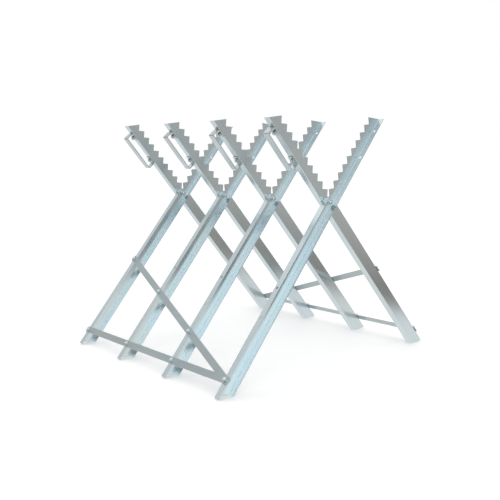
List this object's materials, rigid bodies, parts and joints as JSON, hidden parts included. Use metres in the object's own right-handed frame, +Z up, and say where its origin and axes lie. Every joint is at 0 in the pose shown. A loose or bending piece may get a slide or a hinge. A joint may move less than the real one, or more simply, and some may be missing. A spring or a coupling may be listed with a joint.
{
  "type": "folding log sawhorse",
  "caption": "Folding steel sawhorse: crossed toothed channel legs on hinge bolts, tied by strip rails and braces, holding a log in their V.",
  "frame": {"origin": "on the floor under the middle of the open frame, halfway between the front and back feet and between the first and last pair of legs", "axes": "+X across the legs from the front feet to the back feet, +Y along the log, away from the side with the hinge nuts, +Z up"},
  "size_m": [0.9346, 0.8752, 0.8011],
  "materials": {
    "zinc_sheet": "bright zinc plate",
    "zinc_strip": "satin zinc plate",
    "zinc_strap": "satin zinc plate",
    "zinc_fastener": "zinc-plated bolts and nuts"
  },
  "bodies": {
    "front_frame": {"front_leg_1": "zinc_sheet", "front_leg_2": "zinc_sheet", "front_leg_3": "zinc_sheet", "front_leg_4": "zinc_sheet", "front_rail": "zinc_strip", "front_brace": "zinc_strip", "pivot_bolt_1": "zinc_fastener", "pivot_bolt_2": "zinc_fastener", "pivot_bolt_3": "zinc_fastener", "pivot_bolt_4": "zinc_fastener", "pivot_nuts": "zinc_fastener", "pivot_washers": "zinc_fastener", "front_rail_bolts": "zinc_fastener", "front_rail_nuts": "zinc_fastener", "front_brace_bolts": "zinc_fastener", "front_brace_nuts": "zinc_fastener"},
    "back_frame": {"back_leg_1": "zinc_sheet", "back_leg_2": "zinc_sheet", "back_leg_3": "zinc_sheet", "back_leg_4": "zinc_sheet", "back_rail": "zinc_strip", "back_brace": "zinc_strip", "board_bracket_1": "zinc_strap", "board_bracket_2": "zinc_strap", "board_bracket_3": "zinc_strap", "board_bracket_4": "zinc_strap", "back_rail_bolts": "zinc_fastener", "back_rail_nuts": "zinc_fastener", "back_brace_bolts": "zinc_fastener", "back_brace_nuts": "zinc_fastener", "bracket_bolts": "zinc_fastener", "bracket_nuts": "zinc_fastener"}
  },
  "joints": [
    {"name": "fold", "type": "hinge", "parent": "front_frame", "child": "back_frame", "pos_m": [0, 0, 0.5284], "axis": [0, 1, 0], "range_deg": [0, 78]}
  ]
}
